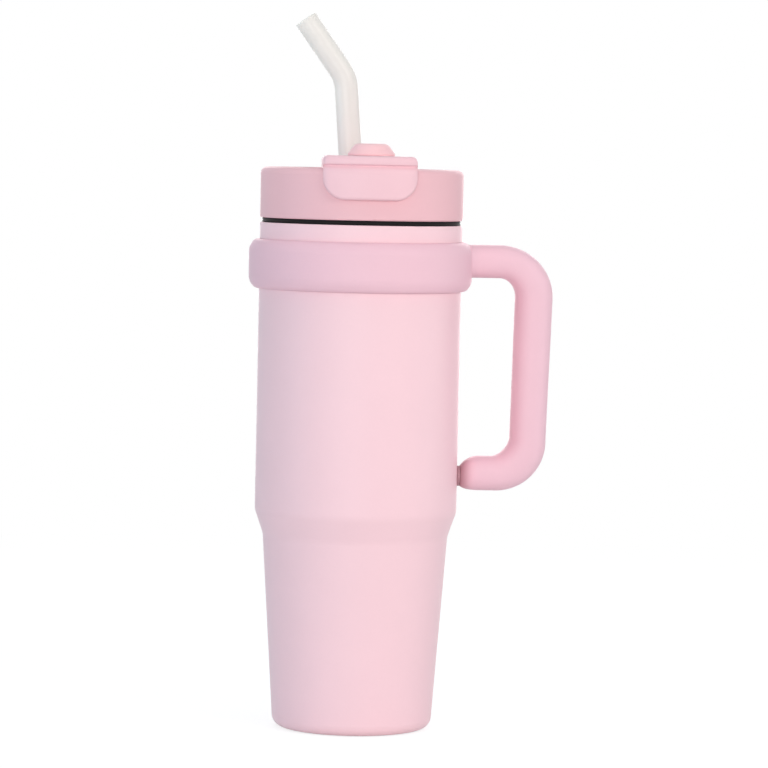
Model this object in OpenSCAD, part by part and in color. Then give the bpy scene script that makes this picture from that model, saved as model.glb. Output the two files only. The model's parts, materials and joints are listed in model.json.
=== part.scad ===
// Vacuum-insulated water bottle: a stepped double-walled steel body, a collar with a
// C-shaped handle, and a screw lid with a flip cover over the spout and a bent straw.
// Millimetres. Z points up, the origin is on the body's axis at the level of the foot ring,
// the handle points along +X and the flip cover opens at the front, along -Y.

/* [Body] */
// Outer diameter of the straight upper body
body_d = 96; // [90:1:110]
// Height of the rim above the table
rim_z = 240; // [225:1:270]
// Height of the top of the tapered lower part
waist_z = 92; // [70:1:105]
// Height of the slanted step between the lower part and the upper body
step_h = 11.5; // [8:0.5:16]
// How far the step draws the wall in
step_in = 4; // [2:0.25:6]
// How far the lower part tapers in from the step to the table
taper_in = 6.3; // [3:0.5:9]
// Radius of the rounded edge at the foot
foot_r = 5.5; // [3.5:0.5:7]
// Width of the flat ring that the bottle stands on
foot_w = 3; // [2:0.5:5]
// Radius that blends the step into the walls
step_r = 9; // [5:0.5:12]
// Sheet thickness of the outer wall
shell_t = 0.8; // [0.5:0.1:1.2]
// Sheet thickness of the liner
liner_t = 0.6; // [0.4:0.1:1]
// Vacuum gap between the two walls
vacuum_gap = 2.6; // [1.8:0.1:4]
// Height of the vacuum space under the liner's floor
floor_gap = 5.5; // [4:0.5:10]
// Radius of the liner's lower edge
liner_foot_r = 8; // [4:0.5:12]

/* [Base] */
// Height of the base cover above the table
base_recess = 1; // [0.5:0.1:2]
// Thickness of the base cover
cover_t = 0.5; // [0.3:0.1:1]
// Width of the bare ring between the base cover and the foot
cover_inset = 1.5; // [0.8:0.1:4]
// Thickness of the base plate
plate_t = 0.8; // [0.5:0.1:1.5]
// Diameter of the pump-out dimple
dimple_d = 10; // [7:0.5:14]
// Depth of the pump-out dimple
dimple_h = 1.2; // [0.8:0.1:2]
// Diameter of the pump-out hole
pump_d = 1.8; // [1:0.1:2.5]
// Diameter of the sealing bead
bead_d = 4.4; // [3.5:0.1:6]
// Thickness of the sealing bead
bead_h = 0.9; // [0.5:0.1:1]
// Diameter of the getter cup
getter_d = 11; // [8:0.5:14]
// Height of the getter cup
getter_h = 2.2; // [1.6:0.1:3]
// Distance of the getter cup from the edge of the base plate
getter_edge = 7; // [4:0.5:9.5]

/* [Collar and handle] */
// Height of the collar
collar_h = 23.4; // [20:0.1:30]
// Distance from the rim down to the collar
collar_drop = 7.9; // [6:0.1:14]
// How far the collar stands out from the body
collar_proud = 5; // [4.5:0.1:5.6]
// Height of the collar's rounded edges, which run in to its lips
collar_edge_h = 6.4; // [5.2:0.1:9]
// Thickness of the soft sleeve under the collar
sleeve_t = 1.2; // [0.8:0.1:1.6]
// Height of the collar's lips over and under the sleeve
collar_lip_h = 1.2; // [0.8:0.1:2]
// Gap for the fingers at the top of the grip
grip_gap = 26.4; // [22:0.1:34]
// Thickness of the grip, seen from the front
grip_t = 17.7; // [14:0.1:22]
// How much thinner the grip is at its lower end
grip_thin = 0.6; // [0:0.1:2]
// Thickness of the grip, seen from the side
grip_b = 22; // [16:0.5:26]
// Height of the top arm
arm_t = 15.7; // [12:0.1:18]
// Height of the lower arm
low_t = 16.4; // [12:0.1:18]
// Width of the two arms, seen from above
arm_b = 19; // [15:0.5:22]
// Distance from the collar's upper edge down to the top arm
arm_drop = 1.1; // [0:0.1:2]
// How far the top arm widens on each side where it meets the collar
root_flare = 3; // [0.5:0.1:4]
// Radius of the handle's corners, along the middle of its section
bend_r = 16.8; // [14:0.1:19]
// How much the section swells on each side in the lower corner
bend_swell = 0.7; // [0:0.1:1.2]
// Lean of the grip towards the body, in degrees
grip_lean = 1.3; // [0:0.1:4]
// Height of the lower arm above the step
foot_rise = 18.6; // [16:0.1:30]
// Length over which the lower arm rounds off
tip_len = 9; // [6:0.5:12]
// How far the lower arm's tip dips
tip_drop = 1.5; // [0:0.1:3]
// Diameter of the soft pad at the tip
pad_d = 9.6; // [7:0.1:11]
// Thickness of the soft pad
pad_t = 1.5; // [1.2:0.1:3]
// Diameter of the spigot that carries the handle
spigot_d = 8.6; // [6:0.1:10]
// Length of the spigot
spigot_len = 9; // [6:0.5:12]

/* [Lid] */
// Height of the lid above the seal
lid_h = 24; // [21:0.5:32]
// How far the lid stands out from the body
lid_proud = 0.1; // [0:0.05:1]
// Radius of the lid's upper edge
lid_edge_r = 2.5; // [1:0.1:4]
// Wall of the lid's skirt
skirt_t = 2.4; // [1.8:0.1:3.2]
// Thickness of the lid's top
top_t = 2.6; // [2:0.1:3.5]
// Depth of the dish in the lid's top
dish_h = 2; // [1:0.1:3]
// Width of the lid's raised rim
dish_w = 5.5; // [4:0.1:7]
// Thickness of the seal between the rim and the lid
gasket_t = 2.2; // [1.6:0.1:3.2]
// How far the seal lies in from the body's wall
gasket_inset = 1; // [0.5:0.1:1.6]
// Depth of the plug below the rim
plug_depth = 18; // [14:0.5:26]
// Room between the plug and the liner for the screw thread
thread_room = 1.3; // [1:0.1:1.8]
// Wall of the plug and of its tubes
plug_t = 2; // [1.4:0.1:2.6]
// Thickness of the plug's flange
flange_t = 2.4; // [1.8:0.1:3.5]
// Diameter of the valve's disc
valve_d = 10; // [8:0.5:14]
// Diameter of the valve's stem
valve_stem_d = 2.8; // [2:0.1:4]
// Gap between the valve's disc and the plug's wall
valve_edge = 9.7; // [7.5:0.1:11.5]
// Diameter of the vent in the lid's top
vent_d = 2; // [1.2:0.1:3]

/* [Flip cover] */
// Width of the flip cover
flip_w = 43.8; // [40:0.1:48]
// How far the plate draws in on each side towards the hinge
plate_in = 1.7; // [0.5:0.1:2.5]
// Thickness of the flip cover's plate
flip_t = 5.5; // [4:0.1:6]
// Distance from the flip cover's plate down to the end of its tab
tab_h = 15; // [10:0.5:18]
// Thickness of the tab
tab_t = 2; // [1.5:0.1:3]
// How far the tab's lower edge stands out further than its top
tab_flare = 0.8; // [0:0.1:1.6]
// Radius of the tab's lower corners
tab_corner_r = 10; // [5:0.5:13]
// Depth of the crease between the plate and the tab
crease = 0.9; // [0.3:0.1:1.2]
// Radius of the plate's front edge
flip_edge_r = 2.4; // [1:0.1:3]
// Distance of the hinge in front of the axis
hinge_y = 10; // [8.5:0.5:12]
// Diameter of the hinge pin
pin_d = 2.5; // [2:0.1:3]
// Diameter of the hinge knuckles
knuckle_d = 5.2; // [4.6:0.1:6]
// Height of the plate's top above the knuckles
knuckle_step = 0.2; // [0.1:0.05:0.5]
// Width of the lid's knuckle
knuckle_w = 28; // [20:0.5:31]
// Diameter of the drinking spout
spout_d = 15; // [12:0.5:16]
// Sideways distance of the spout from the axis
spout_x = 1.6; // [-2:0.1:2]
// Gap between the spout's tube and the plug's wall
spout_edge = 1.6; // [1:0.1:3]
// Width of the raised ring round the spout
spout_rim = 2.4; // [1.5:0.1:3]
// Diameter of the stopper's head on top of the flip cover
head_d = 22; // [17:0.5:24]
// Height of the stopper's head
head_h = 5.7; // [5:0.1:8]
// How far the head's side leans in
head_in = 3.4; // [2:0.1:4]
// Radius of the head's upper edge
head_r = 3.6; // [2:0.1:4]
// Diameter of the stopper's neck in the flip cover
neck_d = 9; // [6:0.1:11]
// Depth of the stopper in the spout
stop_h = 4.3; // [3:0.1:5]
// Taper of the stopper on each side
stop_taper = 1.2; // [1:0.1:2]

/* [Straw] */
// Outer diameter of the straw
straw_d = 11.2; // [8:0.1:12]
// Wall of the straw
straw_t = 1; // [0.6:0.1:1.4]
// Sideways distance of the straw from the axis, at the lid
straw_x = -4.1; // [-8:0.1:0]
// Distance of the straw behind the axis
straw_y = 15; // [14:0.5:18]
// Lean of the straw, in degrees
straw_lean = 4.5; // [0:0.1:6]
// Length of the straw from the lid to its bend
straw_rise = 45; // [35:0.5:70]
// Length of the straw from its bend to its end
straw_tip = 34; // [20:0.5:60]
// Angle of the bend, in degrees
straw_bend = 31; // [15:0.5:60]
// Radius of the bend
straw_bend_r = 19; // [14:0.5:30]
// Gap between the straw and the liner's floor
straw_gap = 2.5; // [1.5:0.5:8]
// Wall of the straw's soft bush
grommet_t = 2.5; // [1.8:0.1:3]
// Width of the bush's flange
grommet_rim = 1.7; // [1:0.1:2]
// Thickness of the bush's flange
grommet_h = 1.6; // [1:0.1:2.5]
// Height of the raised ring round the straw
port_h = 2.5; // [1.8:0.1:4]
// Room round the straw inside the plug
port_room = 2; // [1.5:0.1:3]

/* [Fits] */
// Clearance of a running fit, on each side
run = 0.05; // [0.02:0.01:0.1]
// Clearance between seated pieces
seat = 0.05; // [0.02:0.01:0.1]
// Clearance between pieces that move past each other
clear = 0.5; // [0.3:0.05:0.8]

/* [Hidden] */
$fn = 96;

// Colours
paint = [0.97, 0.83, 0.86];
collar_pink = [0.95, 0.79, 0.83];
lid_pink = [0.93, 0.75, 0.79];
stopper_pink = [0.97, 0.78, 0.80];
pad_rose = [0.72, 0.51, 0.54];
steel = [0.75, 0.75, 0.76];
soft_black = [0.11, 0.10, 0.11];
soft_white = [0.90, 0.88, 0.87];
straw_white = [0.93, 0.92, 0.90];
getter_grey = [0.45, 0.45, 0.47];

// Body
body_r = body_d / 2;
waist_r = body_r - step_in;
base_r = waist_r - taper_in;
step_z = waist_z + step_h;
liner_in = shell_t + vacuum_gap;
mouth_r = body_r - liner_in - liner_t;
rim_edge_r = liner_t / 2;
neck_r = 1;
function taper_r(z) = base_r + taper_in * z / waist_z;

// Base
lip_r = base_r - foot_r - foot_w;
plate_z = base_recess + cover_t;
plate_top = plate_z + plate_t;
plate_r = lip_r - seat;
floor_z = plate_top + floor_gap;
getter_t = 0.4;
getter_out = plate_r - getter_d / 2 - getter_edge;

// Collar and handle
collar_r = body_r + collar_proud;
collar_top = rim_z - collar_drop;
collar_z = collar_top - collar_h;
sleeve_r = body_r + seat + sleeve_t;
lip_gap = 0.3;
socket_room = 0.15;
collar_land = 0.15;
edge_w = collar_proud - lip_gap - collar_land;
edge_cut = 2 - sqrt(2);
edge_lean = atan(edge_w / collar_edge_h);
edge_side_r = edge_cut / 2 * norm([edge_w, collar_edge_h]) / tan(edge_lean / 2);
edge_lip_r = (1 - edge_cut) * edge_w / tan((90 - edge_lean) / 2);
boss_in = 0.3;
boss_step = 0.1;
arm_z = collar_top - arm_drop - arm_t / 2;
low_z = step_z + foot_rise;
grip_x = body_r + grip_gap + grip_t / 2;
bend_x = grip_x - bend_r * cos(grip_lean);
grip_len = (arm_z - low_z - 2 * bend_r) / cos(grip_lean);
low_bend_x = bend_x - grip_len * sin(grip_lean);
tip_x = body_r + pad_t;
pad_sides = 384;
arm_sides = 36;
bend_steps = 12;
run_steps = 4;
tip_steps = 7;
tip_turn = 62;
root_rings = [0.4, 0.75];
flare_len = 5;
flare_steps = 4;
oval_power = 2.4;

// Lid
lid_r = body_r + lid_proud;
lid_z = rim_z + gasket_t;
lid_top = lid_z + lid_h;
dish_z = lid_top - dish_h;
dish_r = lid_r - dish_w;
top_under = dish_z - top_t;
skirt_r = lid_r - skirt_t;
plug_r = mouth_r - thread_room;
plug_in_r = plug_r - plug_t;
plug_z = rim_z - plug_depth;
plug_floor = plug_z + plug_t;
soft_edge = 0.8;
valve_spread = 135;
valve_out = plug_in_r - valve_d / 2 - valve_edge;
valve_lip = 0.8;
valve_barb = 0.7;
valve_barb_h = 1.6;

// Flip cover
flip_z = lid_top + clear;
flip_top = flip_z + flip_t;
tab_r = lid_r + clear;
tab_z = flip_z - tab_h;
hinge_z = flip_top - knuckle_step - knuckle_d / 2;
flip_lap = 0.15;
tab_bevel = 0.7;
shoulder_r = 2.4;
knuckle_in = 1.6;
hinge_half = flip_w / 2 - plate_in;
knuckle_end = hinge_half - knuckle_in;
web_t = 3;
pin_inset = 0.5;
tube_r = spout_d / 2 + plug_t;
spout_y = plug_in_r - tube_r - spout_edge;
spout_rim_r = spout_d / 2 + spout_rim;
head_side = 1;
stop_gap = 0.3;
stop_lip = 1.2;

// Straw
straw_r = straw_d / 2;
bush_r = straw_r + run + grommet_t;
port_r = bush_r + run;
port_rim_r = bush_r + grommet_rim;
straw_tube_r = straw_r + port_room;
port_span = 3 * (dish_z - plug_z);
bend_run = straw_bend_r * tan(straw_bend / 2);
straw_sides = 40;
straw_bend_steps = 8;
neck_lap = 1;
neck_in = 0.02;
straw_foot = (dish_z - floor_z - liner_t - straw_gap) / cos(straw_lean) - straw_r * tan(straw_lean);

// Outlines: a closed list of [x, y, radius], counter-clockwise, whose corners become true arcs
arc_lap = 0.02;
function flat(p) = [p[0], p[1]];
function unit(v) = v / norm(v);
function turn(a, b, c) = (b[0] - a[0]) * (c[1] - b[1]) - (b[1] - a[1]) * (c[0] - b[0]);
function corner(a, b, c) =
    let (
        back = unit(flat(a) - flat(b)),
        ahead = unit(flat(c) - flat(b)),
        half = acos(back * ahead) / 2,
        reach = b[2] / tan(half)
    )
    [flat(b), flat(b) + reach * back, flat(b) + reach * ahead,
     flat(b) + b[2] / sin(half) * unit(back + ahead), b[2], turn(a, b, c)];

module arc_piece(c) {
    lapped = (c[1] + c[2]) / 2 + arc_lap * unit(c[3] - c[0]);
    intersection() {
        translate(c[3]) circle(r = c[4]);
        polygon([c[1], c[0], c[2], lapped]);
    }
}

module outline(points) {
    count = len(points);
    corners = [for (i = [0 : count - 1])
        points[i][2] > 0
            ? corner(points[(i + count - 1) % count], points[i], points[(i + 1) % count])
            : [flat(points[i])]];
    rounded = [for (c = corners) if (len(c) > 1) c];
    difference() {
        union() {
            polygon([for (c = corners) each (len(c) > 1 ? [c[1], c[2]] : c)]);
            for (c = rounded) if (c[5] > 0) arc_piece(c);
        }
        for (c = rounded) if (c[5] < 0) arc_piece(c);
    }
}

module turned(points) {
    rotate_extrude() outline(points);
}

// Frames of the spout, the hinge and the straw
module at_spout() {
    translate([spout_x, -spout_y, 0]) children();
}

module at_hinge() {
    translate([0, -hinge_y, hinge_z]) rotate([0, 90, 0]) children();
}

module at_straw() {
    translate([straw_x, straw_y, dish_z]) rotate([0, -straw_lean, 0]) children();
}

module at_valve() {
    rotate([0, 0, valve_spread]) translate([0, -valve_out, 0]) children();
}

// Outer wall: foot ring, rounded foot, taper, step, straight upper body
module outer_shell() {
    top = rim_z - liner_t;
    color(paint) turned([
        [lip_r, 0, 0],
        [base_r, 0, foot_r],
        [waist_r, waist_z, step_r],
        [body_r, step_z, step_r],
        [body_r, top, 0],
        [body_r - shell_t, top, 0],
        [body_r - shell_t, step_z, step_r - shell_t],
        [waist_r - shell_t, waist_z, step_r + shell_t],
        [taper_r(shell_t) - shell_t, shell_t, foot_r - shell_t],
        [lip_r + shell_t, shell_t, 0],
        [lip_r + shell_t, plate_top, 0],
        [lip_r, plate_top, 0]
    ]);
}

// Liner: a cup that follows the outer wall, with its rim turned out over the wall's edge
module inner_liner() {
    foot = taper_r(floor_z) - liner_in;
    color(steel) turned([
        [0, floor_z, 0],
        [foot, floor_z, liner_foot_r],
        [waist_r - liner_in, waist_z, step_r + liner_in],
        [body_r - liner_in, step_z, step_r],
        [body_r - liner_in, rim_z - liner_t, neck_r],
        [body_r, rim_z - liner_t, 0],
        [body_r, rim_z, rim_edge_r],
        [mouth_r, rim_z, neck_r],
        [mouth_r, step_z, step_r],
        [waist_r - liner_in - liner_t, waist_z, step_r + liner_in],
        [foot - liner_t, floor_z + liner_t, liner_foot_r - liner_t],
        [0, floor_z + liner_t, 0]
    ]);
}

// Base plate: a disc inside the foot's lip, with the pump-out hole in its dimple
module base_plate() {
    color(steel) turned([
        [pump_d / 2, plate_z + dimple_h, 0],
        [dimple_d / 2, plate_z + dimple_h, 0],
        [dimple_d / 2 + dimple_h, plate_z, 0],
        [plate_r, plate_z, 0],
        [plate_r, plate_top, 0],
        [dimple_d / 2 + dimple_h + plate_t, plate_top, 0],
        [dimple_d / 2 + plate_t, plate_top + dimple_h, 0],
        [pump_d / 2, plate_top + dimple_h, 0]
    ]);
}

// Base cover: a brushed disc with a softened edge, over the dimple
module base_cover() {
    cover_r = lip_r - cover_inset;
    color(steel) turned([
        [0, base_recess, 0],
        [cover_r, base_recess, cover_t / 2],
        [cover_r, plate_z, 0],
        [0, plate_z, 0]
    ]);
}

// Bead that closes the pump-out hole from below
module vacuum_bead() {
    top = plate_z + dimple_h;
    color(getter_grey) turned([
        [0, top - bead_h, 0],
        [bead_d / 2, top - bead_h, bead_h / 2],
        [bead_d / 2, top, 0],
        [0, top, 0]
    ]);
}

// Getter: a pill in an open cup that stands on the base plate
module getter_cup() {
    color(steel) translate([getter_out, 0, plate_top]) difference() {
        cylinder(d = getter_d, h = getter_h);
        translate([0, 0, getter_t]) cylinder(d = getter_d - 2 * getter_t, h = getter_h);
    }
}

module getter_pill() {
    color(getter_grey) translate([getter_out, 0, plate_top + getter_t])
        cylinder(d = getter_d - 2 * getter_t - 2 * seat, h = getter_h - 2 * getter_t);
}

// Collar: a ring with lips that hold its sleeve, and a boss with the spigot of the handle
module collar_band() {
    lip = body_r + lip_gap;
    pocket = sleeve_r + seat;
    root = collar_r - pocket;
    color(collar_pink) union() {
        turned([
            [lip, collar_z, 0],
            [collar_r - edge_cut * edge_w, collar_z, edge_lip_r],
            [collar_r, collar_z + edge_cut * collar_edge_h, edge_side_r],
            [collar_r, collar_top - edge_cut * collar_edge_h, edge_side_r],
            [collar_r - edge_cut * edge_w, collar_top, edge_lip_r],
            [lip, collar_top, 0],
            [lip, collar_top - collar_lip_h, 0],
            [pocket, collar_top - collar_lip_h, 0],
            [pocket, collar_z + collar_lip_h, 0],
            [lip, collar_z + collar_lip_h, 0]
        ]);
        intersection() {
            translate([pocket + boss_in, 0, arm_z]) rotate([0, 90, 0])
                linear_extrude(root)
                    polygon(oval(arm_t / 2 - boss_step, arm_b / 2 + root_flare - boss_step));
            cylinder(r = collar_r, h = rim_z);
        }
        translate([collar_r - root / 2, 0, arm_z]) rotate([0, 90, 0])
            cylinder(d = spigot_d, h = spigot_len + root / 2);
    }
}

// Sleeve: a soft ring between the collar and the body
module collar_sleeve() {
    low = collar_z + collar_lip_h + seat;
    high = collar_top - collar_lip_h - seat;
    color(pad_rose) turned([
        [body_r + seat, low, 0],
        [sleeve_r, low, 0],
        [sleeve_r, high, 0],
        [body_r + seat, high, 0]
    ]);
}

// Handle: an oval section swept along the arms and the grip, from the socket over the
// spigot to the rounded tip. A station is [x, z, heading, half thickness, half width].
function ease(u) = u * u * (3 - 2 * u);
function mix(a, b, u) = a + (b - a) * ease(u);
function bow(v) = sign(v) * pow(abs(v), 2 / oval_power);
function oval(t, b) = [for (i = [0 : arm_sides - 1])
    let (a = 360 * i / arm_sides) [t * bow(cos(a)), b * bow(sin(a))]];
function swept(s) = [for (p = oval(s[3], s[4]))
    [s[0] + p[0] * sin(s[2]), p[1], s[1] + p[0] * cos(s[2])]];
function on_collar(t, b, out = seat) = [for (p = oval(t, b))
    [sqrt(collar_r * collar_r - p[1] * p[1]) + out, p[1], arm_z + p[0]]];
function on_flat(x, t) = [for (p = oval(t, t)) [x, p[1], arm_z + p[0]]];

module handle_arm() {
    arm_ht = arm_t / 2;
    arm_hb = arm_b / 2;
    grip_ht = grip_t / 2;
    low_grip_ht = (grip_t - grip_thin) / 2;
    low_ht = low_t / 2;
    root_hb = arm_hb + root_flare;
    run_x = collar_r + flare_len;
    grip_hb = grip_b / 2;
    socket_r = spigot_d / 2 + socket_room;
    socket_x = collar_r + spigot_len + seat;
    low_bend_z = low_z + bend_r;
    first_turn = 90 + grip_lean;
    last_turn = 90 - grip_lean;
    tip_from = tip_x + tip_len;

    flare = [for (i = [1 : flare_steps]) let (a = 90 * i / flare_steps)
        on_collar(arm_ht, arm_hb + root_flare * (1 - sin(a)), seat + flare_len * (1 - cos(a)))];
    top_run = [for (i = [1 : run_steps]) let (u = i / (run_steps + 1))
        [run_x + u * (bend_x - run_x), arm_z, 0, arm_ht, arm_hb]];
    top_bend = [for (i = [0 : bend_steps]) let (u = i / bend_steps, a = u * first_turn)
        [bend_x + bend_r * sin(a), arm_z - bend_r * (1 - cos(a)), a,
         mix(arm_ht, grip_ht, u), mix(arm_hb, grip_hb, u)]];
    grip = [for (i = [1 : run_steps]) let (u = i / (run_steps + 1), start = top_bend[bend_steps])
        [start[0] - u * grip_len * sin(grip_lean), start[1] - u * grip_len * cos(grip_lean),
         first_turn, mix(grip_ht, low_grip_ht, u), grip_hb]];
    low_bend = [for (i = [0 : bend_steps]) let (u = i / bend_steps, a = first_turn + u * last_turn)
        [low_bend_x + bend_r * sin(a), low_bend_z + bend_r * cos(a), a,
         mix(low_grip_ht, low_ht, u) + bend_swell * sin(180 * u), mix(grip_hb, arm_hb, u)]];
    tip = [for (i = [0 : tip_steps])
        let (
            a = tip_turn * i / tip_steps,
            u = sin(a) / sin(tip_turn),
            round_off = (cos(a) - cos(tip_turn)) / (1 - cos(tip_turn))
        )
        [tip_from - tip_len * u, low_z - tip_drop * u * u, 180,
         pad_d / 2 + (low_ht - pad_d / 2) * round_off,
         pad_d / 2 + (arm_hb - pad_d / 2) * round_off]];

    rings = concat(
        [on_flat(socket_x, socket_r), on_collar(socket_r, socket_r)],
        [for (u = root_rings)
            on_collar(socket_r + u * (arm_ht - socket_r), socket_r + u * (root_hb - socket_r))],
        [on_collar(arm_ht, root_hb)],
        flare,
        [for (s = concat(top_run, top_bend, grip, low_bend, tip)) swept(s)]
    );
    last = len(rings) - 1;
    points = concat([for (r = rings) each r],
        [[socket_x, 0, arm_z], [tip_x, 0, low_z - tip_drop]]);
    socket_end = len(points) - 2;
    tip_end = len(points) - 1;
    faces = concat(
        [for (k = [0 : last - 1], i = [0 : arm_sides - 1])
            let (j = (i + 1) % arm_sides, a = k * arm_sides, b = a + arm_sides)
            each [[a + i, b + i, b + j], [a + i, b + j, a + j]]],
        [for (i = [0 : arm_sides - 1]) [socket_end, i, (i + 1) % arm_sides]],
        [for (i = [0 : arm_sides - 1])
            [tip_end, last * arm_sides + (i + 1) % arm_sides, last * arm_sides + i]]
    );
    color(collar_pink) polyhedron(points = points, faces = faces);
}

// Pad: a soft disc on the handle's tip, hollowed to the body's wall
module handle_foot() {
    color(pad_rose) difference() {
        translate([body_r - pad_t, 0, low_z - tip_drop]) rotate([0, 90, 0])
            cylinder(d = pad_d, h = 2 * pad_t - seat);
        cylinder(r = body_r + seat, h = rim_z, $fn = pad_sides);
    }
}

// Seal: a flat ring on the rim
module lid_gasket() {
    low = rim_z + seat / 2;
    high = lid_z - seat / 2;
    edge = (high - low) / 4;
    inner = plug_r + clear / 2;
    outer = body_r - gasket_inset;
    color(soft_black) turned([
        [inner, low, 0],
        [outer, low, edge],
        [outer, high, edge],
        [inner, high, 0]
    ]);
}

// Lid: skirt, dished top, spout ring, straw ring and the middle knuckle of the hinge
module lid_cap() {
    color(lid_pink) difference() {
        union() {
            turned([
                [skirt_r, lid_z, 0],
                [lid_r, lid_z, soft_edge],
                [lid_r, lid_top, lid_edge_r],
                [dish_r + dish_h, lid_top, soft_edge],
                [dish_r, dish_z, soft_edge],
                [0, dish_z, 0],
                [0, top_under, 0],
                [skirt_r, top_under, 0]
            ]);
            at_spout() translate([0, 0, top_under]) cylinder(r = spout_rim_r, h = lid_top - top_under);
            intersection() {
                at_straw() cylinder(r = port_rim_r, h = 2 * port_h, center = true);
                translate([0, 0, top_under]) cylinder(r = dish_r, h = lid_h);
            }
            at_hinge() cylinder(d = knuckle_d, h = knuckle_w, center = true);
            translate([-knuckle_w / 2, -hinge_y - web_t / 2, top_under])
                cube([knuckle_w, web_t, hinge_z - top_under]);
        }
        at_spout() translate([0, 0, plug_z]) cylinder(d = spout_d, h = lid_top);
        at_straw() cylinder(r = port_r, h = lid_h, center = true);
        at_hinge() cylinder(d = pin_d, h = flip_w, center = true);
        at_valve() cylinder(d = vent_d, h = lid_top);
    }
}

// Plug: a cup under the lid with a flange on the seal, the spout's tube and the straw's tube
module lid_plug() {
    flange_r = skirt_r - seat;
    color(lid_pink) difference() {
        union() {
            turned([
                [0, plug_z, 0],
                [plug_r, plug_z, plug_t],
                [plug_r, lid_z, 0],
                [flange_r, lid_z, 0],
                [flange_r, lid_z + flange_t, 0],
                [plug_in_r, lid_z + flange_t, 0],
                [plug_in_r, plug_floor, plug_t],
                [0, plug_floor, 0]
            ]);
            at_spout() translate([0, 0, plug_z]) cylinder(r = tube_r, h = top_under - plug_z);
            intersection() {
                at_straw() cylinder(r = straw_tube_r + plug_t, h = port_span, center = true);
                translate([0, 0, plug_z]) cylinder(r = plug_in_r, h = top_under - plug_z);
            }
        }
        at_spout() cylinder(d = spout_d, h = lid_top);
        at_straw() cylinder(r = straw_tube_r, h = port_span, center = true);
        at_valve() cylinder(d = valve_stem_d, h = lid_top);
    }
}

// Valve: a soft umbrella under the plug, held by the barb on its stem
module vent_valve() {
    stem_r = valve_stem_d / 2 - seat;
    barb_r = stem_r + valve_barb;
    low = plug_z - valve_lip;
    color(soft_white) at_valve() turned([
        [0, low, 0],
        [valve_d / 2, low, valve_lip / 2],
        [valve_d / 2, plug_z - seat, 0],
        [stem_r, plug_z - seat, 0],
        [stem_r, plug_floor + seat, 0],
        [barb_r, plug_floor + seat, 0],
        [stem_r, plug_floor + valve_barb_h, 0],
        [0, plug_floor + valve_barb_h, 0]
    ]);
}

// Hinge pin: pressed in the lid's knuckle, running in the flip cover's knuckles
module hinge_pin() {
    color(steel) at_hinge()
        cylinder(d = pin_d, h = 2 * (knuckle_end - pin_inset), center = true);
}

// Flip cover: a plate that turns down over the lid's wall, cut to its front and top outlines
module flip_cover() {
    half = flip_w / 2;
    front_y = sqrt(lid_r * lid_r - half * half);
    slot = knuckle_w / 2 + clear;
    slot_y = hinge_y + knuckle_d / 2 + clear;
    tab_top_r = tab_r + tab_t;
    color(lid_pink) difference() {
        union() {
            intersection() {
                turned([
                    [0, flip_z, 0],
                    [tab_r, flip_z, clear],
                    [tab_r, tab_z, 0],
                    [tab_top_r + tab_flare - tab_bevel, tab_z, 0],
                    [tab_top_r + tab_flare, tab_z + tab_bevel, 0],
                    [tab_top_r, flip_z - crease, shoulder_r],
                    [tab_top_r - crease, flip_z + crease, crease],
                    [tab_top_r, flip_z + 2 * crease, crease / 2],
                    [tab_top_r, flip_top + flip_lap, flip_edge_r],
                    [0, flip_top + flip_lap, 0]
                ]);
                translate([0, -hinge_y, 0]) rotate([90, 0, 0]) linear_extrude(lid_r) outline([
                    [-half, tab_z - flip_lap, tab_corner_r],
                    [half, tab_z - flip_lap, tab_corner_r],
                    [half, flip_top, flip_edge_r],
                    [-half, flip_top, flip_edge_r]
                ]);
                linear_extrude(flip_top + flip_t) polygon([
                    [-hinge_half, -hinge_y],
                    [-half, -front_y],
                    [-half, -2 * lid_r],
                    [half, -2 * lid_r],
                    [half, -front_y],
                    [hinge_half, -hinge_y]
                ]);
            }
            for (side = [-1, 1])
                translate([side * (knuckle_end + slot) / 2, 0, 0]) at_hinge()
                    cylinder(d = knuckle_d, h = knuckle_end - slot, center = true);
        }
        translate([-slot, -slot_y, flip_z - tab_h]) cube([2 * slot, slot_y, lid_h + tab_h]);
        at_hinge()
            cylinder(d = pin_d + 2 * run, h = 2 * (knuckle_end + clear), center = true);
        at_spout() cylinder(d = neck_d + 2 * seat, h = 2 * lid_top);
    }
}

// Stopper: a soft round head on the flip cover, a neck through it and a cone in the spout
module spout_stopper() {
    top = flip_top + head_h + seat;
    lip_z = lid_top + seat;
    stop_r = spout_d / 2 - stop_gap;
    color(stopper_pink) at_spout() turned([
        [0, lid_top - stop_h, 0],
        [stop_r - stop_taper, lid_top - stop_h, soft_edge],
        [stop_r, lip_z, 0],
        [stop_r + stop_lip, lip_z, 0],
        [stop_r + stop_lip, flip_z - seat, 0],
        [neck_d / 2, flip_z - seat, 0],
        [neck_d / 2, flip_top + seat, 0],
        [head_d / 2, flip_top + seat, 0],
        [head_d / 2, flip_top + head_side, head_side],
        [head_d / 2 - head_in, top, head_r],
        [0, top, 0]
    ]);
}

// Bush: a soft flanged ring that holds the straw in the lid
module straw_grommet() {
    bore = straw_r + run;
    low = -top_t / 2;
    color(soft_white) at_straw() turned([
        [bore, low, 0],
        [bush_r, low, 0],
        [bush_r, port_h + seat, 0],
        [port_rim_r, port_h + seat, 0],
        [port_rim_r, port_h + grommet_h, soft_edge],
        [bore, port_h + grommet_h, 0]
    ]);
}

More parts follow.
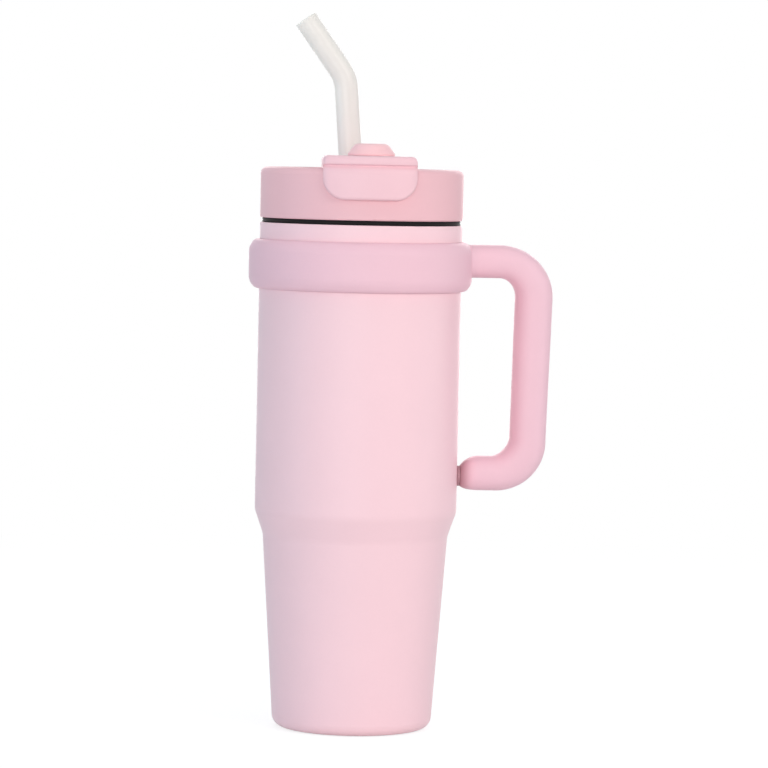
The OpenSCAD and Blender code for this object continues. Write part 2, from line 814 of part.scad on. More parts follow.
// Straw: a straight round tube, then a bend and a tip swept as one many-sided tube that
// starts inside the straight tube's wall
function straw_ring(r, x, z, a) = [for (i = [0 : straw_sides - 1])
    let (turn = 360 * i / straw_sides)
    [x + r * cos(turn) * cos(a), r * sin(turn), z + r * cos(turn) * sin(a)]];
function straw_rings(r) = concat(
    [straw_ring(r, 0, -neck_lap, 0)],
    [for (i = [0 : straw_bend_steps]) let (a = straw_bend * i / straw_bend_steps)
        straw_ring(r, -straw_bend_r * (1 - cos(a)), straw_bend_r * sin(a), a)],
    [straw_ring(r,
        -straw_bend_r * (1 - cos(straw_bend)) - (straw_tip - bend_run) * sin(straw_bend),
        straw_bend_r * sin(straw_bend) + (straw_tip - bend_run) * cos(straw_bend), straw_bend)]
);

module straw_neck() {
    count = straw_sides;
    outer = straw_rings(straw_r - neck_in);
    inner = straw_rings((straw_r - straw_t) / cos(180 / count) + neck_in);
    last = len(outer) - 1;
    bore = (last + 1) * count;
    end = last * count;
    faces = [for (i = [0 : count - 1]) let (j = (i + 1) % count) each concat(
        [for (k = [0 : last - 1]) let (a = k * count, b = a + count) each [
            [a + i, b + i, b + j], [a + i, b + j, a + j],
            [bore + a + i, bore + b + j, bore + b + i], [bore + a + i, bore + a + j, bore + b + j]]],
        [[end + i, bore + end + i, bore + end + j], [end + i, bore + end + j, end + j],
         [bore + i, i, j], [bore + i, j, bore + j]]
    )];
    polyhedron(points = [for (r = concat(outer, inner)) each r], faces = faces);
}

module straw() {
    straight = straw_foot + straw_rise - bend_run - neck_lap / 2;
    color(straw_white) at_straw() union() {
        translate([0, 0, -straw_foot]) difference() {
            cylinder(r = straw_r, h = straight);
            translate([0, 0, -straw_t]) cylinder(r = straw_r - straw_t, h = straight + 2 * straw_t);
        }
        translate([0, 0, straw_rise - bend_run]) straw_neck();
    }
}

outer_shell();
inner_liner();
base_plate();
base_cover();
vacuum_bead();
getter_cup();
getter_pill();
collar_band();
collar_sleeve();
handle_arm();
handle_foot();
lid_gasket();
lid_cap();
lid_plug();
vent_valve();
hinge_pin();
flip_cover();
spout_stopper();
straw_grommet();
straw();
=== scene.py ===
"""Insulated water bottle: finishes, smooth mouldings, screw threads and a studio stage."""

import json
from math import atan2, copysign, cos, hypot, pi, radians, sin, sqrt, tan

import bmesh
import bpy
from bpy.props import FloatProperty, FloatVectorProperty, IntProperty, PointerProperty
from bpy.types import Operator, Panel, PropertyGroup
from mathutils import Matrix, Quaternion, Vector


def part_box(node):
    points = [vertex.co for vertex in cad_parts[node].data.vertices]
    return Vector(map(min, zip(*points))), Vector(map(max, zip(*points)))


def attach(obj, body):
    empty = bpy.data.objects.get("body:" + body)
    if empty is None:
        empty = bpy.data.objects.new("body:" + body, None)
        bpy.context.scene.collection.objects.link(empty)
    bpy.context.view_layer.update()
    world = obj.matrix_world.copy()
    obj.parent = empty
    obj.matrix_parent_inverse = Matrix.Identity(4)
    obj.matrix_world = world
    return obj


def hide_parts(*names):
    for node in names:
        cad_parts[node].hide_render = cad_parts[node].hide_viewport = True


bl_info = {
    "name": "Insulated Water Bottle",
    "version": (1, 0, 0),
    "blender": (4, 5, 0),
    "location": "3D View > Sidebar > Bottle",
    "description": "Dresses the bottle's solids and sets a studio stage round them",
    "category": "Object",
}

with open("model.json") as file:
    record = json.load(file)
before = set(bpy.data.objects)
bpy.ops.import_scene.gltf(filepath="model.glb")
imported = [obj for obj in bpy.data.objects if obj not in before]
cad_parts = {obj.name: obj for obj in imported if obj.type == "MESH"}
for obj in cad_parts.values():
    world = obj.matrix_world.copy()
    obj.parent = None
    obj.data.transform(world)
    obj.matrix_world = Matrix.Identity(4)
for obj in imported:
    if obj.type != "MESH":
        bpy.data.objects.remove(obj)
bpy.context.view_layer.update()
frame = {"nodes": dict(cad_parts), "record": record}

MM = 0.001
SEAT = 0.05 * MM  # room between two pieces that lie on each other
WELD = 0.002 * MM  # points nearer than this become one
FINE_EDGE = 0.2 * MM  # roundings that several pieces share
EDGE = 0.3 * MM
WIDE_EDGE = 0.5 * MM
LARGE, MIDDLE, SMALL = 160, 96, 64  # sides of turned pieces
SHARP = 35  # edges steeper than this, in degrees, stay sharp
IMAGE_SIDE = 768  # pixels
SENSOR = 36.0  # millimetres


def mm(value, name, description):
    """A length property, given in millimetres."""
    return FloatProperty(name=name, description=description, default=value * MM, unit="LENGTH",
                         subtype="DISTANCE", precision=5)


def angle(degrees, name, description):
    """An angle property, given in degrees."""
    return FloatProperty(name=name, description=description, default=radians(degrees),
                         unit="ROTATION", subtype="ANGLE")


def linear(channel):
    """One 0 to 255 display channel as linear light."""
    c = channel / 255
    return c / 12.92 if c <= 0.04045 else ((c + 0.055) / 1.055) ** 2.4


def tint(red, green, blue, name, description):
    """A colour property, given as display values."""
    return FloatVectorProperty(name=name, description=description, subtype="COLOR", size=3,
                               min=0, max=1, default=[linear(c) for c in (red, green, blue)])


# Settings

class BottleColours(PropertyGroup):
    body: tint(252, 213, 220, "Body", "Powder coat of the outer wall")
    collar: tint(244, 200, 212, "Collar and handle", "Moulded collar and handle")
    lid: tint(242, 192, 199, "Lid", "Moulded lid and plug")
    flip: tint(247, 203, 211, "Flip cover", "Moulded flip cover")
    stopper: tint(253, 204, 208, "Stopper", "Soft stopper")
    # Pad: the rubber's own dusty rose, made darker by painted shade read where the pad sits in
    # shadow between the handle's tip and the body
    pad: tint(193, 147, 156, "Pad", "Soft pad and sleeve")
    seal: tint(10, 8, 9, "Seal", "Soft seal under the lid")
    straw: tint(236, 231, 225, "Straw", "Straw tube")
    bush: tint(232, 227, 222, "Bush", "Soft bush and valve")
    steel: tint(196, 195, 197, "Steel", "Liner, base and pin")
    getter: tint(112, 111, 115, "Getter", "Getter and bead")


class HandleSizes(PropertyGroup):
    grip_gap: mm(26.4, "Finger gap", "From the body to the top of the grip")
    grip_t: mm(17.7, "Grip thickness", "Grip seen from the front")
    grip_thin: mm(0.6, "Grip thinning", "Thinning to its lower end")
    grip_b: mm(22, "Grip width", "Grip seen from the side")
    arm_t: mm(15.7, "Top arm height", "Height of the top arm")
    low_t: mm(16.4, "Lower arm height", "Height of the lower arm")
    arm_b: mm(19, "Arm width", "Width of the two arms")
    arm_drop: mm(1.1, "Arm drop", "From the collar's upper edge to the top arm")
    root_flare: mm(3, "Root flare", "Widening on each side at the collar")
    flare_len: mm(5, "Flare length", "Length of that widening")
    root_in: mm(2.5, "Root depth", "Depth of the top arm in the collar")
    bend_r: mm(16.8, "Corner radius", "Corners along the middle of the section")
    bend_swell: mm(0.7, "Corner swell", "Swelling of the lower corner")
    grip_lean: angle(1.3, "Grip lean", "Lean of the grip towards the body")
    tip_len: mm(9, "Tip length", "Length of the lower arm's round end")
    tip_turn: angle(62, "Tip rounding", "Turn of that end")
    tip_drop: mm(1.5, "Tip drop", "Dip of the lower arm's tip")
    pad_edge: mm(0.4, "Pad edge", "Rounding of the soft pad's edges")
    # painted shade: how far along the handle's tip it is darkened in the pad's colour
    shade_len: mm(6, "Tip shade", "Length of the pad's colour on the tip")


class LidSizes(PropertyGroup):
    solid_r: mm(2.5, "Solid's rim", "Radius of the solid's outer rim")
    rim_r: mm(3.1, "Rim", "Radius of the drawn rim")


class FlapSizes(PropertyGroup):
    plate_t: mm(5.5, "Plate", "Thickness of the plate")
    plate_in: mm(1.7, "Plate taper", "Narrowing towards the hinge")
    tab_t: mm(2, "Tab", "Thickness of the tab")
    tab_flare: mm(0.8, "Tab flare", "Lean of the tab's lower edge")
    tab_gap: mm(0.5, "Tab gap", "Room between the tab and the lid")
    corner_r: mm(10, "Corners", "Radius of the tab's lower corners")
    crease: mm(0.9, "Crease", "Height above the plate's underside")
    crease_in: mm(1.7, "Crease depth", "Depth between plate and tab")
    strip: mm(1.62, "Strip", "From the plate's underside up to its front strip")
    shoulder: mm(2.4, "Shoulder", "From the plate's underside down to the tab's full width")
    shoulder_r: mm(2.4, "Shoulder radius", "Radius of the tab's shoulder")
    edge_r: mm(2.4, "Front edge", "Radius of the plate's front edge")
    lip_r: mm(1.8, "Lower edge", "Radius of the tab's lower edge")
    face_r: mm(2.6, "Face", "Width of the face's round at each side")
    side_r: mm(0.4, "Sides", "Rounding of the sides")
    knuckle_d: mm(5.2, "Knuckles", "Diameter of the hinge knuckles")
    knuckle_w: mm(28, "Lid's knuckle", "Width of the lid's own knuckle")
    knuckle_in: mm(1.6, "Knuckle inset", "From the plate's side to a knuckle")
    pin_d: mm(2.5, "Pin", "Diameter of the hinge pin")


class StopperSizes(PropertyGroup):
    lip_gap: mm(0.5, "Lip room", "Between the plate and the spout")
    lip_d: mm(16.8, "Lip", "Diameter of the lip on the spout's ring")
    cone_d: mm(14.4, "Cone", "Diameter of the cone at the spout's mouth")
    cone_in: mm(1.2, "Cone taper", "Narrowing on each side")
    rib: mm(0.22, "Ribs", "Height of the cone's ribs")
    neck_d: mm(9, "Neck", "Diameter of the neck in the plate")
    head_side: mm(1, "Head's side", "Upright foot of the head")
    head_in: mm(3.4, "Head's slope", "Lean of the head's side")
    head_r: mm(3.6, "Head's edge", "Radius of the head's upper edge")


class BushSizes(PropertyGroup):
    wall: mm(2.5, "Wall", "Wall of the straw's bush")
    rim: mm(1.7, "Rim", "Width of the bush's flange")
    flange: mm(1.6, "Flange", "Thickness of the bush's flange")
    port: mm(2.5, "Port", "Height of the lid's ring under the flange")
    depth: mm(1.3, "Depth", "Reach below the lid's dish")


class StrawSizes(PropertyGroup):
    wall: mm(1, "Wall", "Wall of the straw")
    lean: angle(4.5, "Lean", "Lean of the straw from upright")
    rise: mm(45, "Rise", "Length from the lid to the bend")
    tip: mm(34, "Tip", "Length from the bend to the end")
    bend: angle(31, "Bend", "Angle of the bend")
    bend_r: mm(19, "Bend radius", "Radius of the bend")
    lip_out: mm(0.75, "Outer lip", "Rounding of the straw's ends outside")
    lip_in: mm(0.2, "Inner lip", "Rounding of the straw's ends inside")


class ThreadSizes(PropertyGroup):
    mouth_d: mm(88, "Mouth", "Inner diameter of the liner's mouth")
    plug_d: mm(85.4, "Plug", "Outer diameter of the lid's plug")
    pitch: mm(4, "Pitch", "Rise of the lid in one turn")
    height: mm(0.95, "Height", "Height of a ridge over its wall")
    foot: mm(1.7, "Foot", "Width of a ridge at its wall")
    crest: mm(0.8, "Crest", "Width of a ridge at its top")


class StageSettings(PropertyGroup):
    azimuth: angle(-5.2, "Azimuth", "Camera's place round the bottle, from the front")
    distance: mm(1850, "Distance", "Camera's level distance from the bottle's axis")
    height: mm(275, "Height", "Camera's height above the floor")
    aim_side: mm(12.35, "Aim to the side", "View's centre, right of the axis")
    aim_height: mm(164, "Aim height", "Height of the view's centre")
    roll: angle(1.2, "Roll", "Turn of the camera about its view")
    focal: IntProperty(name="Focal length", description="Focal length in image pixels",
                       default=3896, subtype="PIXEL")


class BottleSettings(PropertyGroup):
    colours: PointerProperty(type=BottleColours)
    handle: PointerProperty(type=HandleSizes)
    lid: PointerProperty(type=LidSizes)
    flap: PointerProperty(type=FlapSizes)
    stopper: PointerProperty(type=StopperSizes)
    bush: PointerProperty(type=BushSizes)
    straw: PointerProperty(type=StrawSizes)
    thread: PointerProperty(type=ThreadSizes)
    stage: PointerProperty(type=StageSettings)


def settings():
    return bpy.context.scene.bottle


# Shared shader groups

def new_group(name, inputs, outputs):
    """An empty shader group with float or colour sockets, and its two nodes for them."""
    group = bpy.data.node_groups.new(name, "ShaderNodeTree")
    for side, sockets in (("INPUT", inputs), ("OUTPUT", outputs)):
        for label, default in sockets.items():
            plain = isinstance(default, float)
            kind = "NodeSocketFloat" if plain else "NodeSocketColor"
            socket = group.interface.new_socket(label, in_out=side, socket_type=kind)
            socket.default_value = default if plain else (*default, 1)
    return group, group.nodes.new("NodeGroupInput"), group.nodes.new("NodeGroupOutput")


def shared(make):
    """A maker of a shader group makes it once, and finds it by its name after that."""
    def find():
        return bpy.data.node_groups.get(make.__name__) or make(make.__name__)
    return find


def fill(tree, node, values):
    """A node's inputs, by name or number, are linked to nodes and sockets or take values."""
    for key, value in values.items():
        if isinstance(value, bpy.types.Node):
            value = value.outputs[0]
        if isinstance(value, bpy.types.NodeSocket):
            tree.links.new(value, node.inputs[key])
        else:
            node.inputs[key].default_value = value


def add(tree, kind, inputs=None, **values):
    """A node with its own values set and its inputs filled."""
    node = tree.nodes.new("ShaderNode" + kind)
    for key, value in values.items():
        setattr(node, key, value)
    fill(tree, node, inputs or {})
    return node


@shared
def fine_grain(name):
    """Height of a fine moulded or sprayed surface: small pits on a slow orange peel."""
    group, enter, leave = new_group(
        name, {"Pit Scale": 2500.0, "Peel Scale": 500.0, "Peel Share": 0.5},
        {"Height": 0.0})
    place = add(group, "TexCoord").outputs["Object"]
    pits = add(group, "TexNoise", {"Vector": place, "Scale": enter.outputs["Pit Scale"],
                                   "Detail": 2.0, "Roughness": 0.6})
    peel = add(group, "TexNoise", {"Vector": place, "Scale": enter.outputs["Peel Scale"],
                                   "Detail": 1.0, "Roughness": 0.4})
    both = add(group, "Mix", {0: enter.outputs["Peel Share"], 2: pits, 3: peel},
               data_type="FLOAT")
    fill(group, leave, {"Height": both})
    return group


@shared
def slow_tone(name):
    """Colour and roughness that drift slowly over a piece, as pigment and polish do."""
    group, enter, leave = new_group(
        name, {"Colour": (0.8, 0.8, 0.8), "Drift": 0.03, "Scale": 40.0, "Roughness": 0.45,
               "Polish": 0.08},
        {"Colour": (0.8, 0.8, 0.8), "Roughness": 0.45})
    place = add(group, "TexCoord").outputs["Object"]
    cloud = add(group, "TexNoise", {"Vector": place, "Scale": enter.outputs["Scale"],
                                    "Detail": 4.0, "Roughness": 0.55})
    speck = add(group, "TexNoise", {"Vector": place, "Scale": 900.0, "Detail": 1.0})
    blend = add(group, "Mix", {0: 0.35, 2: cloud, 3: speck}, data_type="FLOAT")
    swing = add(group, "MapRange", {"Value": blend, "From Min": 0.3, "From Max": 0.7,
                                    "To Min": -1.0, "To Max": 1.0})
    gain = add(group, "Math", {0: swing, 1: enter.outputs["Drift"], 2: 1.0},
               operation="MULTIPLY_ADD")
    shade = add(group, "HueSaturation", {"Value": gain, "Color": enter.outputs["Colour"]})
    rough = add(group, "Math", {0: swing, 1: enter.outputs["Polish"],
                                2: enter.outputs["Roughness"]}, operation="MULTIPLY_ADD")
    fill(group, leave, {"Colour": shade, "Roughness": rough})
    return group


@shared
def turned_brush(name):
    """Fine lines that run round the bottle's axis, as brushing on a lathe leaves them."""
    group, enter, leave = new_group(name, {"Lines": 4000.0}, {"Height": 0.0, "Streak": 0.0})
    place = add(group, "SeparateXYZ", {0: add(group, "TexCoord").outputs["Object"]})
    flat = add(group, "CombineXYZ", {0: place, 1: place.outputs[1]})
    reach = add(group, "VectorMath", {0: flat}, operation="LENGTH")
    across = add(group, "CombineXYZ", {0: reach.outputs["Value"], 2: place.outputs[2]})
    lines = add(group, "TexNoise", {"Vector": across, "Scale": enter.outputs["Lines"],
                                    "Detail": 2.0, "Roughness": 0.7})
    streak = add(group, "TexNoise", {"Vector": across, "Scale": 700.0, "Detail": 3.0})
    fill(group, leave, {"Height": lines, "Streak": streak})
    return group


@shared
def tip_fade(name):
    """Mask that grows from 0 to 1 along X towards a tip, on what lies below a level; it places the
    painted shade on the handle's tip.
    """
    group, enter, leave = new_group(name, {"Tip": 0.05, "Reach": 0.006, "Level": 0.14},
                                    {"Mask": 0.0})
    place = add(group, "SeparateXYZ", {0: add(group, "TexCoord").outputs["Object"]})
    past = add(group, "Math", {0: place, 1: enter.outputs["Tip"]}, operation="SUBTRACT")
    share = add(group, "Math", {0: past, 1: enter.outputs["Reach"]}, operation="DIVIDE")
    fade = add(group, "MapRange", {"Value": share, "From Min": 1.0, "From Max": 0.0},
               interpolation_type="SMOOTHSTEP")
    under = add(group, "Math", {0: place.outputs[2], 1: enter.outputs["Level"]},
                operation="LESS_THAN")
    mask = add(group, "Math", {0: fade, 1: under}, operation="MULTIPLY")
    fill(group, leave, {"Mask": mask})
    return group


# Finishes

PLAIN = dict(drift=0.02, polish=0.05, pits=2500.0, peel=500.0, peel_share=0.5, depth=0.02 * MM,
             strength=0.3, sheen=0.0, specular=0.5)
SATIN = dict(PLAIN, drift=0.012, pits=4200.0, peel=1100.0, peel_share=0.3, specular=0.25)
SOFT = dict(PLAIN, drift=0.025, polish=0.06, pits=6000.0, peel=1500.0, peel_share=0.4,
            depth=0.01 * MM, strength=0.4, sheen=0.1)
FINISHES = {
    "powder_coat": dict(SATIN, colour="body", roughness=0.42, polish=0.04, pits=3200.0, peel=900.0,
                        peel_share=0.6, depth=0.03 * MM, strength=0.35),
    "satin_collar": dict(SATIN, colour="collar", roughness=0.5),
    "satin_handle": dict(SATIN, colour="collar", roughness=0.5),
    "satin_lid": dict(SATIN, colour="lid", roughness=0.46),
    "satin_flip": dict(SATIN, colour="flip", roughness=0.46),
    "satin_straw": dict(PLAIN, colour="straw", roughness=0.38, drift=0.012, pits=5000.0,
                        peel=700.0, peel_share=0.6, depth=0.01 * MM),
    "silicone_stopper": dict(SOFT, colour="stopper", roughness=0.55),
    "silicone_bush": dict(SOFT, colour="bush", roughness=0.55),
    "rubber_pad": dict(SOFT, colour="pad", roughness=0.65),
    "rubber_seal": dict(SOFT, colour="seal", roughness=0.6, sheen=0.0, specular=0.25),
    "sintered": dict(PLAIN, colour="getter", roughness=0.7, drift=0.1, pits=5000.0,
                     depth=0.05 * MM, strength=0.6),
}
TIP_SHADE_SHARE = 0.8  # share of the pad's colour mixed onto the handle's tip as painted shade, the body's shadow on the rounded tip


def node_of(tree, kind):
    """The first node of a type in a tree."""
    return next(node for node in tree.nodes if node.type == kind)


def new_material(name):
    material = bpy.data.materials.new(name)
    material.use_nodes = True
    tree = material.node_tree
    return material, tree, node_of(tree, "BSDF_PRINCIPLED")


def moulded(name):
    """A painted, moulded or soft surface of the table, with slow tone and fine grain."""
    look = FINISHES[name]
    _, tree, shader = new_material(name)
    tone = add(tree, "Group", {"Colour": (*getattr(settings().colours, look["colour"]), 1),
                               "Drift": look["drift"], "Roughness": look["roughness"],
                               "Polish": look["polish"]}, node_tree=slow_tone())
    grain = add(tree, "Group", {"Pit Scale": look["pits"], "Peel Scale": look["peel"],
                                "Peel Share": look["peel_share"]}, node_tree=fine_grain())
    bump = add(tree, "Bump", {"Height": grain, "Distance": look["depth"],
                              "Strength": look["strength"]})
    fill(tree, shader, {"Base Color": tone, "Roughness": tone.outputs["Roughness"], "Normal": bump,
                        "Sheen Weight": look["sheen"], "Specular IOR Level": look["specular"]})
    return tree, shader


def shaded_tip(name):
    """The collar's finish with painted shade towards the handle's tip: the pad's colour mixed in
    stands for the body's shadow on the rounded tip.
    """
    tree, shader = moulded(name)
    size = settings().handle
    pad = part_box("handle_foot")[1]
    tone = shader.inputs["Base Color"].links[0].from_socket
    # painted shade: the pad's colour fades in towards the tip and darkens it as the body's shadow
    # would
    fade = add(tree, "Group", {"Tip": pad.x, "Reach": size.shade_len,
                               "Level": pad.z + 2 * size.low_t}, node_tree=tip_fade())
    share = add(tree, "Math", {0: fade, 1: TIP_SHADE_SHARE}, operation="MULTIPLY")
    blend = add(tree, "Mix", {0: share, 6: tone, 7: (*settings().colours.pad, 1)},
                data_type="RGBA")
    fill(tree, shader, {"Base Color": blend.outputs[2]})


def brushed(name):
    """Bare steel with fine lines round the axis."""
    _, tree, shader = new_material(name)
    brush = add(tree, "Group", node_tree=turned_brush())
    tone = add(tree, "MapRange", {"Value": brush.outputs["Streak"], "To Min": 0.86,
                                  "To Max": 1.08})
    shade = add(tree, "HueSaturation", {"Value": tone, "Color": (*settings().colours.steel, 1)})
    rough = add(tree, "MapRange", {"Value": brush, "To Min": 0.22, "To Max": 0.4})
    bump = add(tree, "Bump", {"Height": brush, "Distance": 0.02 * MM, "Strength": 0.25})
    fill(tree, shader, {"Base Color": shade, "Roughness": rough, "Normal": bump, "Metallic": 1.0})


MAKERS = {"bare_steel": brushed, "satin_handle": shaded_tip}


def finish(name):
    """A finish by its name, made when it is first asked for."""
    if name not in bpy.data.materials:
        MAKERS.get(name, moulded)(name)
    return bpy.data.materials[name]


# Mesh makers

def shares(count):
    """Even steps from 0 to 1, with both ends."""
    return [k / count for k in range(count + 1)]


def quarter(count):
    """Even steps from 0 to a right angle, with both ends."""
    return [pi / 2 * u for u in shares(count)]


def full_turn(count):
    """Even steps round a circle."""
    return [2 * pi * k / count for k in range(count)]


def rounded(corners, steps=8):
    """A closed counter-clockwise outline of (across, up, radius) with its corners as arcs."""
    out = []
    count = len(corners)
    for i, (x, y, r) in enumerate(corners):
        here = Vector((x, y))
        if r <= 0:
            out.append(here)
            continue
        back = (Vector(corners[i - 1][:2]) - here).normalized()
        ahead = (Vector(corners[(i + 1) % count][:2]) - here).normalized()
        half = back.angle(ahead) / 2
        middle = here + (back + ahead).normalized() * (r / sin(half))
        start = here + back * (r / tan(half)) - middle
        end = here + ahead * (r / tan(half)) - middle
        swing = start.angle_signed(end)
        for u in shares(steps):
            out.append(middle + Matrix.Rotation(-swing * u, 2) @ start)
    return out


def clothe(mesh, look, smooth):
    """A mesh takes one finish, and is smooth-shaded up to an angle in degrees."""
    mesh.materials.clear()
    mesh.materials.append(finish(look))
    for face in mesh.polygons:
        face.material_index = 0
    mesh.shade_smooth()
    mesh.set_sharp_from_angle(angle=radians(smooth))


def new_object(name, mesh, look, smooth=SHARP):
    """An object in the scene from a mesh, in one finish."""
    clothe(mesh, look, smooth)
    piece = bpy.data.objects.new(name, mesh)
    bpy.context.scene.collection.objects.link(piece)
    return piece


def new_piece(name, bm, look, smooth=SHARP):
    """An object from a bmesh, with its points welded."""
    bmesh.ops.remove_doubles(bm, verts=bm.verts, dist=WELD)
    bmesh.ops.recalc_face_normals(bm, faces=bm.faces)
    mesh = bpy.data.meshes.new(name)
    bm.to_mesh(mesh)
    bm.free()
    return new_object(name, mesh, look, smooth)


def lathe(name, outline, look, sides, place=None):
    """A closed outline of (radius, height) turned about the Z axis of a frame."""
    bm = bmesh.new()
    place = place or Matrix()
    rows = []
    for r, z in outline:
        if r < WELD:
            rows.append([bm.verts.new(place @ Vector((0, 0, z)))] * sides)
            continue
        rows.append([bm.verts.new(place @ Vector((r * cos(a), r * sin(a), z)))
                     for a in full_turn(sides)])
    for low, high in zip(rows, rows[1:] + rows[:1]):
        for k in range(sides):
            n = (k + 1) % sides
            face = list(dict.fromkeys((low[k], low[n], high[n], high[k])))
            if len(face) > 2:
                bm.faces.new(face)
    return new_piece(name, bm, look)


def loft(name, rings, look, smooth=40, loop=False, flat_ends=False):
    """Rings of equal count joined in order, looped or closed at both ends by a fan or a face."""
    bm = bmesh.new()
    rows = [[bm.verts.new(p) for p in ring] for ring in rings]
    count = len(rows[0])
    pairs = list(zip(rows, rows[1:]))
    if loop:
        pairs.append((rows[-1], rows[0]))
    for low, high in pairs:
        for k in range(count):
            n = (k + 1) % count
            bm.faces.new((low[k], low[n], high[n], high[k]))
    for row in () if loop else (rows[0], rows[-1]):
        if flat_ends:
            bm.faces.new(row)
        else:
            middle = bm.verts.new(sum((v.co for v in row), Vector()) / count)
            for k in range(count):
                bm.faces.new((row[k], row[(k + 1) % count], middle))
    return new_piece(name, bm, look, smooth)


def dress(node, look):
    """A solid of the frame keeps its shape and takes a finish."""
    clothe(frame["nodes"][node].data, look, SHARP)


def stand_for(piece, node, body):
    """A new piece rides on a body in place of one of the frame's solids."""
    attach(piece, body)
    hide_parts(node)


def ease(u):
    """A smooth step from 0 to 1."""
    return u * u * (3 - 2 * u)


# Pieces

THREAD_STEPS = 72  # sections in a turn
LINER_TURNS = (3.25, 0.75)  # from where to where a thread runs, in turns below the rim
PLUG_TURNS = (3.75, -0.25)


def thread(name, wall, outward, turns, look):
    """A helical ridge on a round wall that rises out of it and sinks back at both ends."""
    size = settings().thread
    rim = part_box("inner_liner")[1].z
    low, high = (rim - turn * size.pitch for turn in turns)
    sunk, run_out, least = 0.15 * MM, 0.125, 0.02
    rings = []
    for u in shares(int((high - low) / size.pitch * THREAD_STEPS)):
        swell = max(least, ease(min(1.0, u / run_out, (1 - u) / run_out)))
        z = low + (high - low) * u
        a = 2 * pi * (z - low) / size.pitch
        out = (size.height + sunk) * swell - sunk
        ring = []
        for side, stand in ((-size.foot / 2, -sunk), (-size.crest / 2, out),
                            (size.crest / 2, out), (size.foot / 2, -sunk)):
            r = wall + outward * stand
            ring.append(Vector((r * cos(a), r * sin(a), z + side)))
        rings.append(ring)
    return loft(name, rings, look, smooth=50)


class BOTTLE_OT_body(Operator):
    """Powder coat on the outer wall, brushed steel inside and below, and the liner's thread"""
    bl_idname = "bottle.body"
    bl_label = "Body"

    def execute(self, context):
        dress("outer_shell", "powder_coat")
        for node in ("inner_liner", "base_plate", "base_cover", "getter_cup"):
            dress(node, "bare_steel")
        for node in ("vacuum_bead", "getter_pill"):
            dress(node, "sintered")
        self.paint_rim()
        ridge = thread("liner_thread", settings().thread.mouth_d / 2, -1, LINER_TURNS,
                       "bare_steel")
        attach(ridge, "vessel")
        return {"FINISHED"}

    def paint_rim(self):
        """The powder coat runs up the liner's rim on its outer side."""
        wall, reach = 1 * MM, 5 * MM
        within = settings().thread.mouth_d / 2 + wall
        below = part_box("inner_liner")[1].z - reach
        liner = frame["nodes"]["inner_liner"].data
        liner.materials.append(finish("powder_coat"))
        for face in liner.polygons:
            if face.center.xy.length > within and face.center.z > below:
                face.material_index = 1


class BOTTLE_OT_collar(Operator):
    """Collar round the body and the soft ribbed sleeve under it"""
    bl_idname = "bottle.collar"
    bl_label = "Collar"

    def execute(self, context):
        dress("collar_band", "satin_collar")
        low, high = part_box("collar_sleeve")
        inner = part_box("outer_shell")[1].y + SEAT
        edge = (high.y - inner) / 4
        ribs, crest, groove = 6, 0.6, (0.3, 0.1)  # count, then shares of their pitch
        pitch = (high.z - low.z) / ribs
        outer = []
        for k in range(ribs):
            foot = low.z + k * pitch
            top = foot + pitch if k == ribs - 1 else foot + crest * pitch
            if k:
                outer += [(high.y - edge, foot - share * pitch, 0) for share in groove]
            outer += [(high.y, foot, edge), (high.y, top, edge)]
        ring = rounded([(inner, low.z, edge), *outer, (inner, high.z, edge)], steps=3)
        stand_for(lathe("sleeve", ring, "rubber_pad", LARGE), "collar_sleeve", "vessel")
        return {"FINISHED"}


def oval(thick, wide, sides=72, power=2.4):
    """A soft-cornered oval round the origin, as (up, across) pairs."""
    def bow(v):
        return copysign(abs(v) ** (2 / power), v)
    return [(thick * bow(cos(a)), wide * bow(sin(a))) for a in full_turn(sides)]


# Sections along the handle's root, its corners, its grip and its tip
ROOT_STEPS, BEND_STEPS, GRIP_STEPS, TIP_STEPS = 16, 40, 12, 24


